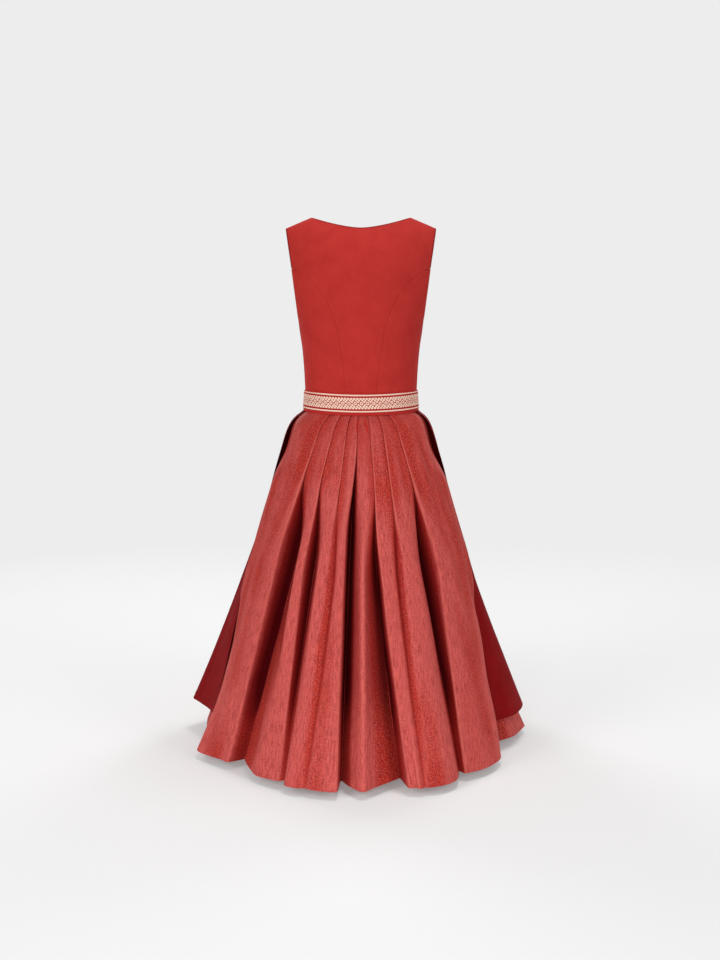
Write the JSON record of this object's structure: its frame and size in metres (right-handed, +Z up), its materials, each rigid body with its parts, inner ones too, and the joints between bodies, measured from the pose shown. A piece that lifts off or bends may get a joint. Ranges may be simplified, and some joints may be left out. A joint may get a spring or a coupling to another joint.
{
  "type": "dirndl",
  "caption": "Sleeveless dirndl in its worn shape: princess-seamed bodice, woven-ribbon waistband, midi skirt in knife pleats and a shorter apron round the front.",
  "frame": {"origin": "midway between the two shoulder seams, where a wearer's shoulders carry the dress", "axes": "+Z up, +X to the wearer's left, -Y the way the wearer faces"},
  "size_m": [0.8021, 0.7961, 1.2185],
  "materials": {
    "bodice": "matte plain-woven cloth",
    "skirt": "soft sheen, two-coloured slub weave",
    "apron": "smooth, soft sheen",
    "band": "matte ribbed weave",
    "ribbon": "woven pattern, soft sheen",
    "button": "covered with the bodice's cloth"
  },
  "bodies": {
    "root": {"back": "bodice", "side_back_left": "bodice", "side_back_right": "bodice", "side_front_left": "bodice", "side_front_right": "bodice", "front_left": "bodice", "front_right": "bodice", "button_1": "button", "button_2": "button", "button_3": "button", "button_4": "button", "button_5": "button", "button_6": "button", "button_7": "button", "button_8": "button", "skirt_back": "skirt", "skirt_front": "skirt", "apron": "apron", "waistband": "band", "ribbon": "ribbon"}
  },
  "joints": []
}
